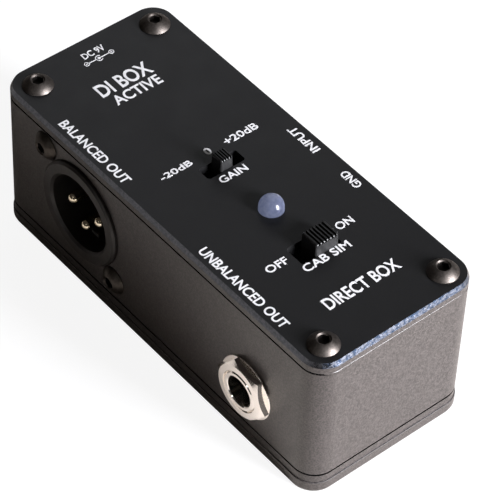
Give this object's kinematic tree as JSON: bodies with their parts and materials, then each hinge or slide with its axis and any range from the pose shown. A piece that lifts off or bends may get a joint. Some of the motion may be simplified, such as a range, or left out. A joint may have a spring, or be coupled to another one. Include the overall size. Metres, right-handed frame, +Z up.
{
  "type": "direct injection box",
  "caption": "Small flat metal direct box with a male three-pin connector, phone jacks, a power inlet, two slide switches, a push button and a status light.",
  "frame": {"origin": "centre of the bottom cover's underside", "axes": "+Z up, +Y along the length towards the power inlet, -X towards the output side"},
  "size_m": [0.0431, 0.0954, 0.0385],
  "materials": {
    "case_paint": "satin gunmetal paint with a fine grain",
    "cover_paint": "satin gunmetal paint with a fine grain",
    "plate_anodised": "satin black anodised, with a bright bevel",
    "dark_screw": "blackened steel",
    "flange_plastic": "satin black moulded plastic",
    "insert_plastic": "matt black moulded plastic",
    "knob_plastic": "black moulded plastic",
    "gold_contact": "gold plated",
    "nickel": "bright nickel plate",
    "spring_steel": "nickel plated spring strip",
    "switch_metal": "blackened steel",
    "phenolic": "laminate board",
    "frosted_light": "frosted, bluish white",
    "circuit_board": "green lacquer",
    "package_plastic": "black moulded package",
    "capacitor_sleeve": "dark shrink sleeve",
    "button_plastic": "black moulded plastic"
  },
  "bodies": {
    "case": {"body_shell": "case_paint", "bottom_cover": "cover_paint", "bottom_cover_screws": "dark_screw", "cab_filter_chip": "package_plastic", "cab_sim_switch_base": "phenolic", "cab_sim_switch_frame": "switch_metal", "chip_resistors": "package_plastic", "dc_jack_body": "insert_plastic", "dc_jack_pin": "nickel", "dc_jack_spring": "spring_steel", "gain_switch_base": "phenolic", "gain_switch_frame": "switch_metal", "ground_lift_switch_body": "insert_plastic", "input_jack_body": "insert_plastic", "input_jack_bushing": "nickel", "input_jack_nut": "nickel", "input_jack_sleeve_spring": "spring_steel", "input_jack_tip_spring": "spring_steel", "input_jack_washer": "nickel", "line_driver_chip": "package_plastic", "main_circuit_board": "circuit_board", "output_capacitor_left": "capacitor_sleeve", "output_capacitor_right": "capacitor_sleeve", "output_jack_body": "insert_plastic", "output_jack_bushing": "nickel", "output_jack_nut": "nickel", "output_jack_sleeve_spring": "spring_steel", "output_jack_tip_spring": "spring_steel", "output_jack_washer": "nickel", "preamp_chip": "package_plastic", "status_led_leads": "spring_steel", "status_led_lens": "frosted_light", "supply_capacitor": "capacitor_sleeve", "top_plate": "plate_anodised", "top_plate_screws": "dark_screw", "xlr_board_header": "insert_plastic", "xlr_circuit_board": "circuit_board", "xlr_housing": "flange_plastic", "xlr_insert": "insert_plastic", "xlr_pin_cold": "gold_contact", "xlr_pin_ground": "gold_contact", "xlr_pin_hot": "gold_contact", "xlr_screws": "dark_screw"},
    "gain_slider": {"gain_switch_knob": "knob_plastic"},
    "cab_sim_slider": {"cab_sim_switch_knob": "knob_plastic"},
    "ground_lift_cap": {"ground_lift_button": "button_plastic"}
  },
  "joints": [
    {"name": "gain_slide", "type": "slide", "parent": "case", "child": "gain_slider", "axis": [1, 0, 0], "range_m": [-0.0025, 0.0025]},
    {"name": "cab_sim_slide", "type": "slide", "parent": "case", "child": "cab_sim_slider", "axis": [1, 0, 0], "range_m": [-0.0023, 0]},
    {"name": "ground_lift_press", "type": "slide", "parent": "case", "child": "ground_lift_cap", "axis": [-1, 0, 0], "range_m": [0, 0.0018]}
  ]
}
